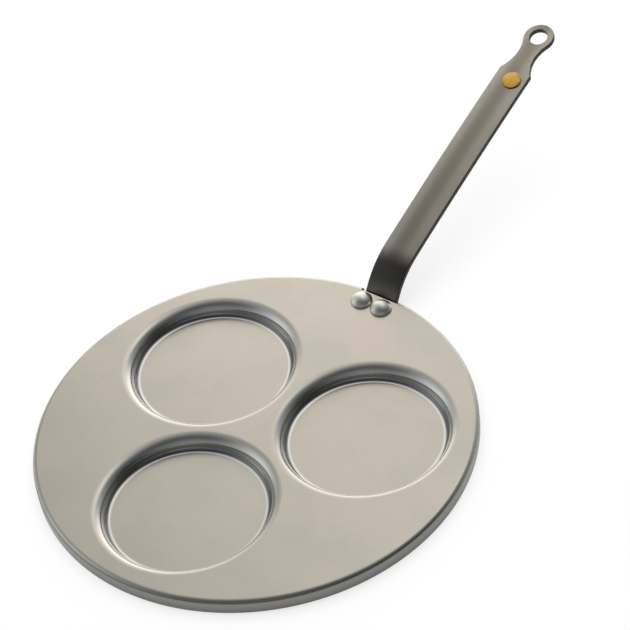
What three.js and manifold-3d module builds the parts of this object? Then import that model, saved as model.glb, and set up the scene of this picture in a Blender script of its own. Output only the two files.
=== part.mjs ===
// Three-hole blini pan: a pressed steel plate with three round wells and a turned-down rim, and a strip
// handle that two domed rivets hold under the plate. Millimetres, +Z up. The origin is the centre of the
// plate's top face, and the handle points along +X, midway between two wells.
import * as THREE from "three";
import { LoftGeometry } from "three/addons/geometries/LoftGeometry.js";
import { mergeVertices } from "three/addons/utils/BufferGeometryUtils.js";
import Module from "manifold-3d";

const degrees = THREE.MathUtils.degToRad;

// Pressed plate
const SHEET = 2.5;
const WELL_COUNT = 3;
const WELL_RADIUS = 49.8; // at the top of the straight wall
const WELL_DEPTH = 9;
const WELL_WALL = 0.5; // straight length between shoulder and fillet
const WELL_DRAFT = degrees(10); // lean of the straight wall
const WELL_FILLET = 3; // inside radius where the wall meets the floor
const WEB = 2.2; // flat left between the mouths of two neighbouring wells
const BORDER = 7.95; // flat left between a well's mouth and the rim's rounded edge
const RIM_EDGE_RADIUS = 3;
const RIM_DEPTH = 9.3;

// Notch in the rim, which lets the handle out
const NOTCH_DEPTH = 3.9;
const NOTCH_SIDE_GAP = 2.35;

// Handle strip
const STRIP_WIDTH = 23;
const STRIP_THICKNESS = 3.5;
const STRIP_CROWN = 0.8; // rise of the grip's middle over its edges
const FOOT_BEND_RADIUS = 1.2;
const FOOT_BEND_GAP = 0.2; // from the notch's edge to the start of the foot bend
const LEG_ANGLE = degrees(59.4);
const MAIN_BEND_RADIUS = 49;
const GRIP_ANGLE = degrees(19.15);
const GRIP_ARCH_RADIUS = 2600;
const GRIP_LENGTH = 174.4; // from the main bend to the centre of the loop
const FOOT_MARGIN = 6; // steel left round each rivet in the foot
const FOOT_CORNER = 6;

// Loop at the end of the handle
const HANG_HOLE_RADIUS = 5.9;
const LOOP_WALL = 4.35;
const NECK_WIDTH = 13.5;
const NECK_TO_LOOP = 15.3;

// Rivets
const RIVET_HEAD_RADIUS = 7;
const RIVET_HEAD_HEIGHT = 5.2;
const RIVET_HEAD_SPACE = 0.8; // between the two heads
const RIVET_EDGE_SPACE = 1.5; // from a head to the notch
const RIVET_SHANK_RADIUS = 3;
const RIVET_TAIL_RADIUS = 5.2;
const RIVET_TAIL_HEIGHT = 2;

// Button on the grip
const BUTTON_TO_LOOP = 37.6;
const BUTTON_OFFSET = -2.2; // sideways from the grip's middle
const BUTTON_RADIUS = 6.15;
const BUTTON_EDGE = 0.6; // upright edge below the dome
const BUTTON_DOME = 1.5;
const BUTTON_STEM_RADIUS = 2.5;
const BUTTON_TAIL_RADIUS = 3.6;
const BUTTON_TAIL_HEIGHT = 0.8;

const HOLE_CLEARANCE = 0.3; // round a shank or stem
const SEAT_CLEARANCE = 0.3; // under the button, and under the strip above its tail

// Facets
const PLATE_SEGMENTS = 96;
const WELL_SEGMENTS = 48;
const SMALL_SEGMENTS = 24;
const SHOULDER_STEPS = 5;
const FILLET_STEPS = 3;
const DOME_STEPS = 5;
const FOOT_BEND_STEPS = 5;
const MAIN_BEND_STEPS = 10;
const GRIP_STEPS = 14;
const CROWN_STEPS = 8;
const WELD = 1e-4; // corners closer than this are one corner

// Sizes that follow from the ones above
const wallAngle = Math.PI / 2 - WELL_DRAFT;
const curvedDepth = WELL_DEPTH - WELL_WALL * Math.sin(wallAngle);
const shoulderRadius = curvedDepth / (1 - Math.cos(wallAngle)) - WELL_FILLET;
const mouthRadius = WELL_RADIUS + shoulderRadius * Math.sin(wallAngle);
const floorRadius = WELL_RADIUS - WELL_WALL * Math.cos(wallAngle) - WELL_FILLET * Math.sin(wallAngle);
const wellCircle = (mouthRadius + WEB / 2) / Math.sin(Math.PI / WELL_COUNT);
const plateRadius = wellCircle + mouthRadius + BORDER + RIM_EDGE_RADIUS;
const notchEdge = plateRadius - NOTCH_DEPTH;
const notchWidth = STRIP_WIDTH + 2 * NOTCH_SIDE_GAP;
const rivetX = notchEdge - RIVET_EDGE_SPACE - RIVET_HEAD_RADIUS;
const rivetY = RIVET_HEAD_RADIUS + RIVET_HEAD_SPACE / 2;
const rivetHole = RIVET_SHANK_RADIUS + HOLE_CLEARANCE;
const footReach = RIVET_SHANK_RADIUS + FOOT_MARGIN;
const footBendStart = notchEdge + FOOT_BEND_GAP;
const loopRadius = HANG_HOLE_RADIUS + LOOP_WALL;
const neckHalf = NECK_WIDTH / 2;
const neckArc = (NECK_TO_LOOP ** 2 + neckHalf ** 2 - loopRadius ** 2) / (2 * (loopRadius - neckHalf));
const stripHalf = STRIP_WIDTH / 2;
const shoulderDrop = stripHalf - neckHalf;
const shoulderToLoop = NECK_TO_LOOP + Math.sqrt(2 * neckArc * shoulderDrop - shoulderDrop ** 2);
const gripEnd = GRIP_LENGTH + loopRadius + LOOP_WALL; // before the loop is cut to shape
const through = 4 * (SHEET + STRIP_THICKNESS); // length of a tool that cuts right through

const wasm = await Module();
wasm.setup();

// A closed geometry as a solid that can be joined and cut
function solid(geometry) {
  const bare = new THREE.BufferGeometry();
  bare.setAttribute("position", geometry.attributes.position);
  bare.setIndex(geometry.index);
  const merged = mergeVertices(bare, WELD);
  const corners = merged.index.array;
  const triangles = [];
  for (let i = 0; i < corners.length; i += 3) {
    const [a, b, c] = corners.slice(i, i + 3);
    if (a !== b && b !== c && c !== a) {
      triangles.push(a, b, c);
    }
  }
  return new wasm.Manifold(
    new wasm.Mesh({
      numProp: 3,
      vertProperties: merged.attributes.position.array,
      triVerts: new Uint32Array(triangles),
    }),
  );
}

// The geometry of a joined and cut solid
function geometryOf(body) {
  const mesh = body.getMesh();
  const geometry = new THREE.BufferGeometry();
  geometry.setAttribute("position", new THREE.BufferAttribute(new Float32Array(mesh.vertProperties), 3));
  geometry.setIndex(new THREE.BufferAttribute(new Uint32Array(mesh.triVerts), 1));
  return geometry;
}

// A profile of [radius, height] points, from the bottom of the axis to its top, turned round +Z
function turned(profile, segments) {
  const points = profile.map(([radius, height]) => new THREE.Vector2(radius, height));
  return new THREE.LatheGeometry(points, segments).rotateX(Math.PI / 2);
}

// An upright cylinder that cuts a round hole at x, y, centred on height z
function drill(radius, x, y, z) {
  const tool = new THREE.CylinderGeometry(radius, radius, through, SMALL_SEGMENTS);
  return solid(tool.rotateX(Math.PI / 2).translate(x, y, z));
}

// Points [radius, height] of an arc round a centre, from one angle to another
function arc(centre, radius, from, to, steps) {
  return Array.from({ length: steps + 1 }, (_, i) => {
    const angle = from + ((to - from) * i) / steps;
    return [centre[0] + radius * Math.cos(angle), centre[1] + radius * Math.sin(angle)];
  });
}

// One face of a well's section, from the axis over floor, fillet, wall and shoulder to the mouth.
// Depth below the cooking face is 0 inside and the sheet's thickness underneath.
function wellFace(below) {
  const fillet = [floorRadius, WELL_FILLET - WELL_DEPTH];
  const shoulder = [mouthRadius, -shoulderRadius];
  const tight = Math.max(shoulderRadius - below, SHEET / 10);
  const down = -Math.PI / 2;
  return [
    [0, -WELL_DEPTH - below],
    ...arc(fillet, WELL_FILLET + below, down, down + wallAngle, FILLET_STEPS),
    ...arc(shoulder, tight, Math.PI / 2 + wallAngle, Math.PI / 2, SHOULDER_STEPS),
  ];
}

// Plan position of each well's centre; the handle's side lies between the first and the last one
function wellCentres() {
  return Array.from({ length: WELL_COUNT }, (_, i) => {
    const angle = (Math.PI * (2 * i + 1)) / WELL_COUNT;
    return [wellCircle * Math.cos(angle), wellCircle * Math.sin(angle)];
  });
}

function panPlate() {
  const innerEdge = Math.max(RIM_EDGE_RADIUS - SHEET, SHEET / 10);
  const inside = plateRadius - SHEET;
  const edgeCentre = [plateRadius - RIM_EDGE_RADIUS, -RIM_EDGE_RADIUS];
  const disc = turned(
    [
      [0, -SHEET],
      ...arc([inside - innerEdge, -SHEET - innerEdge], innerEdge, Math.PI / 2, 0, FILLET_STEPS),
      [inside, -RIM_DEPTH],
      [plateRadius, -RIM_DEPTH],
      ...arc(edgeCentre, RIM_EDGE_RADIUS, 0, Math.PI / 2, SHOULDER_STEPS),
      [0, 0],
    ],
    PLATE_SEGMENTS,
  );
  const bowl = turned([...wellFace(SHEET), [mouthRadius, -SHEET / 2], [0, -SHEET / 2]], WELL_SEGMENTS);
  const hollow = turned([...wellFace(0), [mouthRadius, SHEET], [0, SHEET]], WELL_SEGMENTS);
  let plate = solid(disc);
  for (const [x, y] of wellCentres()) {
    plate = plate.add(solid(bowl.clone().translate(x, y, 0)));
  }
  for (const [x, y] of wellCentres()) {
    plate = plate.subtract(solid(hollow.clone().translate(x, y, 0)));
  }
  const notch = new THREE.BoxGeometry(plateRadius, notchWidth, 4 * RIM_DEPTH);
  plate = plate.subtract(solid(notch.translate(notchEdge + plateRadius / 2, 0, 0)));
  for (const side of [1, -1]) {
    plate = plate.subtract(drill(rivetHole, rivetX, side * rivetY, 0));
  }
  return geometryOf(plate);
}

// The strip's path in the XZ plane, along the edges of its top face. A point of it is {x, z, slope, grip}:
// grip is the length along the grip, and runs from -1 to 0 over the main bend.
function footBendPoint(share) {
  const slope = LEG_ANGLE * share;
  return {
    x: footBendStart + FOOT_BEND_RADIUS * Math.sin(slope),
    z: FOOT_BEND_RADIUS * (1 - Math.cos(slope)) - SHEET,
    slope,
    grip: -1,
  };
}

function mainBendPoint(share) {
  const leg = footBendPoint(1);
  const slope = THREE.MathUtils.lerp(LEG_ANGLE, GRIP_ANGLE, share);
  return {
    x: leg.x + MAIN_BEND_RADIUS * (Math.sin(LEG_ANGLE) - Math.sin(slope)),
    z: leg.z + MAIN_BEND_RADIUS * (Math.cos(slope) - Math.cos(LEG_ANGLE)),
    slope,
    grip: share - 1,
  };
}

function gripPoint(length) {
  const start = mainBendPoint(1);
  const slope = GRIP_ANGLE - length / GRIP_ARCH_RADIUS;
  return {
    x: start.x + GRIP_ARCH_RADIUS * (Math.sin(GRIP_ANGLE) - Math.sin(slope)),
    z: start.z + GRIP_ARCH_RADIUS * (Math.cos(slope) - Math.cos(GRIP_ANGLE)),
    slope,
    grip: length,
  };
}

function stripPath() {
  const path = [{ x: rivetX, z: -SHEET, slope: 0, grip: -1 }];
  for (let i = 0; i <= FOOT_BEND_STEPS; i++) {
    path.push(footBendPoint(i / FOOT_BEND_STEPS));
  }
  for (let i = 1; i <= MAIN_BEND_STEPS; i++) {
    path.push(mainBendPoint(i / MAIN_BEND_STEPS));
  }
  for (let i = 1; i <= GRIP_STEPS; i++) {
    path.push(gripPoint((gripEnd * i) / GRIP_STEPS));
  }
  return path;
}

// Height of the crown: it grows over the main bend and dies out between the shoulders and the loop
function crownAt(grip) {
  const rise = THREE.MathUtils.smoothstep(grip, -1, 0);
  const shoulder = GRIP_LENGTH - shoulderToLoop;
  const fall = THREE.MathUtils.smoothstep(grip, shoulder, GRIP_LENGTH - HANG_HOLE_RADIUS);
  return STRIP_CROWN * rise * (1 - fall);
}

// Section of the strip at a point of its path: an arched top face, and the same arch one thickness below
function stripSection({ x, z, slope, grip }) {
  const crown = crownAt(grip);
  const at = (share, depth) => {
    const up = crown * (1 - share * share) - depth;
    return new THREE.Vector3(x - up * Math.sin(slope), stripHalf * share, z + up * Math.cos(slope));
  };
  const shares = Array.from({ length: CROWN_STEPS + 1 }, (_, i) => 1 - (2 * i) / CROWN_STEPS);
  const top = shares.map((share) => at(share, 0));
  const underside = shares.map((share) => at(-share, STRIP_THICKNESS));
  return [...top, ...underside];
}

// A section shrunk to its middle, which closes an end of the strip
function shrunk(section) {
  const middle = new THREE.Box3().setFromPoints(section).getCenter(new THREE.Vector3());
  return section.map(() => middle);
}

// A tool made round the origin, carried to a point of the grip and laid along its slope
function onGrip(geometry, length, sideways) {
  const { x, z, slope } = gripPoint(length);
  return solid(geometry.rotateY(-slope).translate(x, sideways, z));
}

// Outline of the handle's end round the loop's centre: shoulders, neck arcs that run into the loop, loop
function headOutline() {
  const reach = neckHalf + neckArc;
  const meet = Math.atan2(reach, NECK_TO_LOOP);
  const start = Math.atan2(stripHalf - reach, NECK_TO_LOOP - shoulderToLoop);
  const outline = new THREE.Shape();
  outline.moveTo(-shoulderToLoop - STRIP_WIDTH, stripHalf);
  outline.absarc(-NECK_TO_LOOP, reach, neckArc, start, -meet, false);
  outline.absarc(0, 0, loopRadius, Math.PI - meet, meet - Math.PI, true);
  outline.absarc(-NECK_TO_LOOP, -reach, neckArc, meet, -start, false);
  outline.lineTo(-shoulderToLoop - STRIP_WIDTH, -stripHalf);
  return outline;
}

// Plan of the foot, a rounded plate wide enough for both rivets
function footOutline() {
  const side = rivetY + footReach - FOOT_CORNER;
  const back = rivetX - footReach + FOOT_CORNER;
  const front = footBendStart - FOOT_CORNER;
  const quarter = Math.PI / 2;
  const outline = new THREE.Shape();
  outline.absarc(front, side, FOOT_CORNER, 0, quarter, false);
  outline.absarc(back, side, FOOT_CORNER, quarter, 2 * quarter, false);
  outline.absarc(back, -side, FOOT_CORNER, 2 * quarter, 3 * quarter, false);
  outline.absarc(front, -side, FOOT_CORNER, 3 * quarter, 4 * quarter, false);
  return outline;
}

function handle() {
  const sections = stripPath().map(stripSection);
  const strip = new LoftGeometry([shrunk(sections[0]), ...sections, shrunk(sections.at(-1))]);
  const foot = new THREE.ExtrudeGeometry(footOutline(), {
    depth: STRIP_THICKNESS,
    bevelEnabled: false,
    curveSegments: SMALL_SEGMENTS / 4,
  });
  let bar = solid(strip).add(solid(foot.translate(0, 0, -SHEET - STRIP_THICKNESS)));
  const head = new THREE.ExtrudeGeometry(headOutline(), {
    depth: through,
    bevelEnabled: false,
    curveSegments: SMALL_SEGMENTS,
  });
  const endLength = shoulderToLoop + 2 * loopRadius;
  const end = new THREE.BoxGeometry(endLength, 2 * STRIP_WIDTH, through / 2);
  const waste = onGrip(end.translate(endLength / 2 - shoulderToLoop, 0, 0), GRIP_LENGTH, 0);
  bar = bar.subtract(waste.subtract(onGrip(head.translate(0, 0, -through / 2), GRIP_LENGTH, 0)));
  const hole = (radius) => {
    return new THREE.CylinderGeometry(radius, radius, through, SMALL_SEGMENTS).rotateX(Math.PI / 2);
  };
  bar = bar.subtract(onGrip(hole(HANG_HOLE_RADIUS), GRIP_LENGTH, 0));
  const stemHole = hole(BUTTON_STEM_RADIUS + HOLE_CLEARANCE);
  bar = bar.subtract(onGrip(stemHole, GRIP_LENGTH - BUTTON_TO_LOOP, BUTTON_OFFSET));
  for (const side of [1, -1]) {
    bar = bar.subtract(drill(rivetHole, rivetX, side * rivetY, -SHEET));
  }
  return geometryOf(bar);
}

// A spherical cap over a flat edge: points from the edge at the given height to the top on the axis
function dome(radius, height, base) {
  const ball = (radius ** 2 + height ** 2) / (2 * height);
  const rim = Math.asin((ball - height) / ball);
  const points = arc([0, base + height - ball], ball, rim, Math.PI / 2, DOME_STEPS);
  points.at(-1)[0] = 0;
  return points;
}

// Rivet with its head on the plate's top face and its tail under the handle's foot
function rivet() {
  const seat = -SHEET - STRIP_THICKNESS;
  const tail = dome(RIVET_TAIL_RADIUS, RIVET_TAIL_HEIGHT, 0).reverse();
  return turned(
    [
      ...tail.map(([radius, height]) => [radius, seat - height]),
      [RIVET_SHANK_RADIUS, seat],
      [RIVET_SHANK_RADIUS, 0],
      ...dome(RIVET_HEAD_RADIUS, RIVET_HEAD_HEIGHT, 0),
    ],
    SMALL_SEGMENTS,
  );
}

// Button round its own axis, from the strip's path upward: tail, stem through the strip, and domed head
function button() {
  const under = -STRIP_THICKNESS - SEAT_CLEARANCE;
  const seat = STRIP_CROWN + SEAT_CLEARANCE;
  return turned(
    [
      [0, under - BUTTON_TAIL_HEIGHT],
      [BUTTON_TAIL_RADIUS, under - BUTTON_TAIL_HEIGHT],
      [BUTTON_TAIL_RADIUS, under],
      [BUTTON_STEM_RADIUS, under],
      [BUTTON_STEM_RADIUS, seat],
      [BUTTON_RADIUS, seat],
      ...dome(BUTTON_RADIUS, BUTTON_DOME, seat + BUTTON_EDGE),
    ],
    SMALL_SEGMENTS,
  );
}

const plateSteel = new THREE.MeshStandardMaterial({ color: 0xb4b0a6, roughness: 0.32, metalness: 1 });
const stripSteel = new THREE.MeshStandardMaterial({ color: 0x8b877e, roughness: 0.42, metalness: 1 });
const rivetSteel = new THREE.MeshStandardMaterial({ color: 0xb9b9b4, roughness: 0.3, metalness: 1 });
const yellowResin = new THREE.MeshStandardMaterial({ color: 0xd79a1e, roughness: 0.35, metalness: 0 });

function named(name, geometry, material) {
  const mesh = new THREE.Mesh(geometry, material);
  mesh.name = name;
  return mesh;
}

const pan = new THREE.Group();
pan.add(named("pan_plate", panPlate(), plateSteel));
pan.add(named("handle", handle(), stripSteel));
for (const [name, side] of [["rivet_left", 1], ["rivet_right", -1]]) {
  const mesh = named(name, rivet(), rivetSteel);
  mesh.position.set(rivetX, side * rivetY, 0);
  pan.add(mesh);
}
const buttonPlace = gripPoint(GRIP_LENGTH - BUTTON_TO_LOOP);
const buttonSeat = new THREE.Group();
buttonSeat.position.set(buttonPlace.x, BUTTON_OFFSET, buttonPlace.z);
buttonSeat.rotation.y = -buttonPlace.slope;
buttonSeat.add(named("handle_button", button(), yellowResin));
pan.add(buttonSeat);

export default pan;
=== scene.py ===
"""Looks of a three-hole blini pan, laid out as a Blender add-on and run as a script.

Each operator makes one piece, or a pair of like pieces, as a closed surface worked out with numpy from the
sizes in the sidebar, lets it stand for its solid and finishes it. Metres, +Z up. The origin is the centre
of the plate's top face, and the handle points along +X.
"""

import math
from types import SimpleNamespace

import bmesh
import bpy
import numpy as np
from mathutils import Matrix, Vector


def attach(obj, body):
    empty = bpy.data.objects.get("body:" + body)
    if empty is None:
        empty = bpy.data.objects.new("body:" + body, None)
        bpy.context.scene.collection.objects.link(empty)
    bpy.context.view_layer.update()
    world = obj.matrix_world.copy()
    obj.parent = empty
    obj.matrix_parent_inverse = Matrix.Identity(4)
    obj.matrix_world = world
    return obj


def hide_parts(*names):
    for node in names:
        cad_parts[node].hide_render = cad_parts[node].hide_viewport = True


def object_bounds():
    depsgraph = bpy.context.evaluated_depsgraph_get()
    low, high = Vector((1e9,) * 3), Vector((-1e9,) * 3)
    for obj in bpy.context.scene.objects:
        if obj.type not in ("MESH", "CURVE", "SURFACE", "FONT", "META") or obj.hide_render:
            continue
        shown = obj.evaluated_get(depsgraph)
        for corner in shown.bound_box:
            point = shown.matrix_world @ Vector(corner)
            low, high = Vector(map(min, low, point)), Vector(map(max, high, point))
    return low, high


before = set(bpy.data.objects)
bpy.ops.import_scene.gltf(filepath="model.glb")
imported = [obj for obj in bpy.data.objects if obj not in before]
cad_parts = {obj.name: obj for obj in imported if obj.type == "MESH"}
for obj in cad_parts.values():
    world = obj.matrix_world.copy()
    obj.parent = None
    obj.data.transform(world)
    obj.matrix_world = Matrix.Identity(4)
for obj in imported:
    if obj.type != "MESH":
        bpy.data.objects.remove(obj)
CAD_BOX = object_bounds()

bl_info = {
    "name": "Blini pan",
    "version": (1, 0, 0),
    "blender": (4, 5, 0),
    "location": "View3D > Sidebar > Blini pan",
    "description": "Builds a pressed steel pan with three wells, its riveted handle and a plain studio stage",
    "category": "Object",
}

MM = 0.001
QUARTER = math.pi / 2  # of a turn
WELLS = 3
WELD = 1e-6  # points closer than this are one point
CUT, UNDER = 1, 2  # slots of the finishes on cut faces and on the plate's underside
FLAT_GAP = 0.35 * MM  # width of the level rows beside a rounding, which keep the flat's shading even
FLOOR_GAP = 0.05 * MM  # keeps the floor clear of the wells' undersides

# Points along the plate's borders and sections
RAY_POINTS, RIM_POINTS, NOTCH_POINTS = 48, 96, (7, 1)
COOKING_POINTS, UNDER_POINTS = (14, 26), (10, 12)  # along a well's fillet and along its shoulder
RIM_ROUND_POINTS, RIM_WALL_POINTS, RIM_EDGE_POINTS = 12, 3, 5
# Points along the handle, and across it
FOOT_CORNER_POINTS, FOOT_BEND_POINTS, MAIN_BEND_POINTS, GRIP_POINTS, NECK_POINTS = 9, 10, 30, 40, 14
STRIP_COLUMNS, LOOP_SIDE_POINTS, LOOP_POINTS, LOOP_ROWS = 17, 9, 61, 5
# Turned pieces
TURNED_SEGMENTS = 64
TAIL_POINTS, HEAD_POINTS, BUTTON_POINTS = 10, 24, 18
LOWER_EDGE_POINTS, UPPER_EDGE_POINTS = 4, 5
RIVET_LOWER_EDGE, RIVET_UPPER_EDGE = 0.5 * MM, 0.6 * MM
BUTTON_LOWER_EDGE, BUTTON_UPPER_EDGE = 0.2 * MM, 0.3 * MM
# Edges sharper than these stay hard, or are rounded
PLATE_CREASE, CREASE, BEVEL_CREASE = math.radians(35), math.radians(40), math.radians(50)
BEVEL_SEGMENTS = 3


def length(name, description, millimetres):
    """A length property whose default is given in millimetres."""
    return bpy.props.FloatProperty(
        name=name, description=description, default=millimetres * MM,
        unit="LENGTH", subtype="DISTANCE", precision=5,
    )


def angle(name, description, degrees):
    """An angle property whose default is given in degrees."""
    return bpy.props.FloatProperty(
        name=name, description=description, default=math.radians(degrees), unit="ROTATION", subtype="ANGLE"
    )


def share(name, description, value):
    """A property between 0 and 1."""
    return bpy.props.FloatProperty(
        name=name, description=description, default=value, min=0, max=1, subtype="FACTOR"
    )


def colour(name, description, value):
    """A linear colour property."""
    return bpy.props.FloatVectorProperty(
        name=name, description=description, default=value, min=0, max=1, size=3, subtype="COLOR"
    )


class BLINI_PG_plate(bpy.types.PropertyGroup):
    """Sizes and finish of the pressed plate."""

    sheet: length("Sheet", "Thickness of the steel", 2.5)
    well_radius: length("Well radius", "Radius at the top of a well's straight wall", 49.8)
    well_depth: length("Well depth", "From the top face down to a well's floor", 9)
    well_wall: length("Well wall", "Straight part of the wall, between shoulder and fillet", 0.5)
    well_draft: angle("Well draft", "Lean of the straight wall", 10)
    well_fillet: length("Well fillet", "Inside radius where wall and floor meet", 3)
    web: length("Web", "Flat left between two wells", 2.2)
    border: length("Border", "Flat left between a well and the rim's rounding", 7.95)
    rim_rounding: length("Rim rounding", "Radius where the plate turns down into the rim", 3)
    rim_depth: length("Rim depth", "From the top face down to the rim's lower edge", 9.3)
    rim_edge: length("Rim edge", "Rounding of the rim's lower edge", 0.5)
    notch_depth: length("Notch depth", "How far the gap for the handle cuts into the plate", 3.9)
    notch_width: length("Notch width", "Width of the gap for the handle", 27.7)
    steel: colour("Steel", "Tone of the bare steel", (0.668, 0.604, 0.512))
    steel_patch: colour("Patches", "Tone of the steel where it is tarnished", (0.615, 0.578, 0.496))
    steel_blush: colour("Blush", "Tone of the steel where it is faintly pink", (0.683, 0.604, 0.514))
    # Painted highlight: a brighter tone on the rim's rounding and round each well's floor edge and shoulder
    painted_highlight_steel: colour("Drawn steel", "Tone where the press has burnished the steel", (0.84, 0.812, 0.75))
    # Painted shade: a darker, greyer tone on a well's steep wall
    wall_shade_steel: colour("Well wall", "Tone of a well's steep wall", (0.52, 0.517, 0.505))
    # Painted shade: a narrow dark line low on a well's wall, standing for a dark reflection
    well_foot_shade_steel: colour("Well foot", "Tone of the dark line low on a well's wall", (0.27, 0.27, 0.272))
    # Painted shade: the rim's wall is toned dark, and darker still at its foot, where the steel shows dark
    # reflections
    rim_shade_steel: colour("Rim wall", "Tone of the rim's drawn wall", (0.212, 0.21, 0.194))
    rim_foot_shade_steel: colour("Rim foot", "Tone of the rim's wall at its lower edge", (0.134, 0.133, 0.122))
    # Partly painted shade: the notch's cut faces are sheared steel toned darker still
    cut_and_shade_steel: colour("Cut faces", "Tone of the notch's cut faces", (0.09, 0.087, 0.083))
    speck: colour("Specks", "Tone of the fine dark specks", (0.2, 0.18, 0.15))
    roughness: share("Roughness", "Roughness of the rolled surface", 0.28)
    wall_roughness: share("Wall roughness", "Roughness of a well's steep wall", 0.09)
    # Roughness of the smoother steel where the painted highlight lies
    drawn_roughness: share("Drawn roughness", "Roughness where the press has burnished the steel", 0.2)


class BLINI_PG_handle(bpy.types.PropertyGroup):
    """Sizes and finish of the strip handle."""

    width: length("Width", "Width of the strip", 23)
    thickness: length("Thickness", "Thickness of the strip", 3.5)
    crown: length("Crown", "Rise of the grip's middle over its edges", 0.8)
    foot_bend: length("Foot bend", "Inside radius where the strip leaves the foot", 1.2)
    foot_bend_gap: length("Foot bend gap", "From the notch's edge to the foot bend", 0.2)
    leg_angle: angle("Leg angle", "Slope of the steep leg", 59.4)
    main_bend: length("Main bend", "Radius of the bend from leg to grip", 49)
    grip_angle: angle("Grip angle", "Slope of the grip at the main bend", 19.15)
    grip_arch: length("Grip arch", "Radius of the grip's gentle arch", 2600)
    grip_length: length("Grip length", "From the main bend to the middle of the hang hole", 174.4)
    foot_length: length("Foot length", "Foot under the plate, up to the foot bend", 17.8)
    foot_width: length("Foot width", "Width of the foot under the plate", 32.8)
    foot_corner: length("Foot corner", "Rounding of the foot's corners", 6)
    hang_hole: length("Hang hole", "Radius of the hang hole", 5.9)
    loop_wall: length("Loop wall", "Steel left round the hang hole", 4.35)
    neck_width: length("Neck width", "Narrowest width, before the loop", 13.5)
    neck_to_loop: length("Neck to loop", "From the narrowest place to the middle of the hang hole", 15.3)
    edge: length("Edge", "Rounding of the strip's edges", 0.55)
    steel: colour("Steel", "Tone of the strip's left half", (0.5, 0.475, 0.405))
    right_steel: colour("Right half", "Tone of the strip's right half", (0.52, 0.475, 0.4))
    # Partly the strip's browner tone, partly painted shade where the crowned face turns along its middle
    middle_brown_and_shade_steel: colour("Middle", "Tone along the middle, where the strip is browner", (0.34, 0.3, 0.243))
    # Painted shade: the steep leg is toned dark, a little lighter next to the pan
    leg_shade_steel: colour("Leg", "Tone of the heat-darkened leg", (0.1, 0.092, 0.08))
    root_shade_steel: colour("Root", "Tone of the leg next to the pan", (0.2, 0.185, 0.157))
    # Partly painted shade: the strip's cut edges are sheared steel toned darker still
    cut_and_shade_steel: colour("Cut edges", "Tone of the strip's cut edges", (0.032, 0.028, 0.024))
    roughness: share("Roughness", "Roughness of the strip", 0.33)


class BLINI_PG_rivets(bpy.types.PropertyGroup):
    """Sizes and finish of the two rivets."""

    head_radius: length("Head radius", "Radius of a rivet's head", 7)
    head_height: length("Head height", "Height of a rivet's head", 5.2)
    head_edge: length("Head edge", "Height of the head's upright edge below its dome", 1)
    head_space: length("Head space", "Gap between the two heads", 0.8)
    edge_space: length("Edge space", "From a head to the notch's edge", 1.5)
    shank_radius: length("Shank radius", "Radius of a rivet's shank", 3)
    tail_radius: length("Tail radius", "Radius of the set tail", 5.2)
    tail_height: length("Tail height", "Height of the set tail", 2)
    steel: colour("Steel", "Tone of the rivets", (0.97, 0.94, 0.85))
    steel_cloud: colour("Clouds", "Tone of the rivets where they are duller", (0.62, 0.6, 0.55))
    roughness: share("Roughness", "Roughness of the rivets", 0.34)


class BLINI_PG_button(bpy.types.PropertyGroup):
    """Sizes and finish of the resin button on the grip."""

    to_loop: length("To loop", "From the button to the middle of the hang hole", 37.6)
    offset: length("Offset", "How far the button sits to the right of the grip's middle", 2.2)
    radius: length("Radius", "Radius of the button", 6.15)
    edge: length("Edge", "Height of the upright edge below the dome", 0.6)
    dome: length("Dome", "Height of the dome", 1.5)
    stem_radius: length("Stem radius", "Radius of the stem through the strip", 2.5)
    tail_radius: length("Tail radius", "Radius of the lip under the strip", 3.6)
    tail_height: length("Tail height", "Height of the lip under the strip", 0.8)
    clearance: length("Clearance", "Gap between the strip and the button's seats", 0.3)
    resin: colour("Resin", "Colour of the button", (0.66, 0.37, 0.03))
    # Partly painted shade: this darker resin makes the deeper clouds and the painted shade at the button's
    # edge
    resin_cloud_and_edge_shade: colour("Resin shade", "Colour of the button's edge and deeper clouds", (0.44, 0.23, 0.006))


class BLINI_PG_stage(bpy.types.PropertyGroup):
    """Floor, light and camera."""

    floor: colour("Floor", "Colour of the floor", (0.8, 0.8, 0.8))
    floor_size: length("Floor size", "Half the floor's width", 20000)
    floor_glow: share("Floor glow", "How far the floor is lifted towards white where it is seen", 0.72)
    lamp: bpy.props.FloatProperty(
        name="Lamp", description="Strength of the overhead lamp", default=1.75, min=0
    )
    eye: bpy.props.FloatVectorProperty(
        name="Eye", description="Place of the camera", default=(-0.766048, -0.762492, 1.098565), size=3,
        unit="LENGTH", subtype="TRANSLATION",
    )
    heading: angle("Heading", "Camera's direction in plan, from +X towards +Y", 42.38)
    pitch: angle("Pitch", "How far the camera looks down", 43.21)
    roll: angle("Roll", "Turn of the image about the camera's axis", -9.28)
    lens: bpy.props.FloatProperty(
        name="Lens", description="Focal length on a 36 mm sensor", default=146.64, unit="CAMERA"
    )


# Surfaces


def unit(turn):
    """Unit vectors at angles: the cosine and the sine."""
    return np.column_stack([np.cos(turn), np.sin(turn)])


def arc(centre, radius, start, end, count):
    """Points on a circle: the centre plus the radius along evenly spaced angles from start to end."""
    return centre + radius * unit(np.linspace(start, end, count))


def grid_faces(rows, columns, closed):
    """Quads between neighbouring rows and columns of a grid; a closed grid's last column joins its first."""
    index = np.arange(rows * columns).reshape(rows, columns)
    if closed:
        index = np.column_stack([index, index[:, :1]])
    return np.stack([index[:-1, :-1], index[:-1, 1:], index[1:, 1:], index[1:, :-1]], axis=-1).reshape(-1, 4)


def put(name, data):
    """A new object in the scene."""
    made = bpy.data.objects.new(name, data)
    bpy.context.scene.collection.objects.link(made)
    return made


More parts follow.
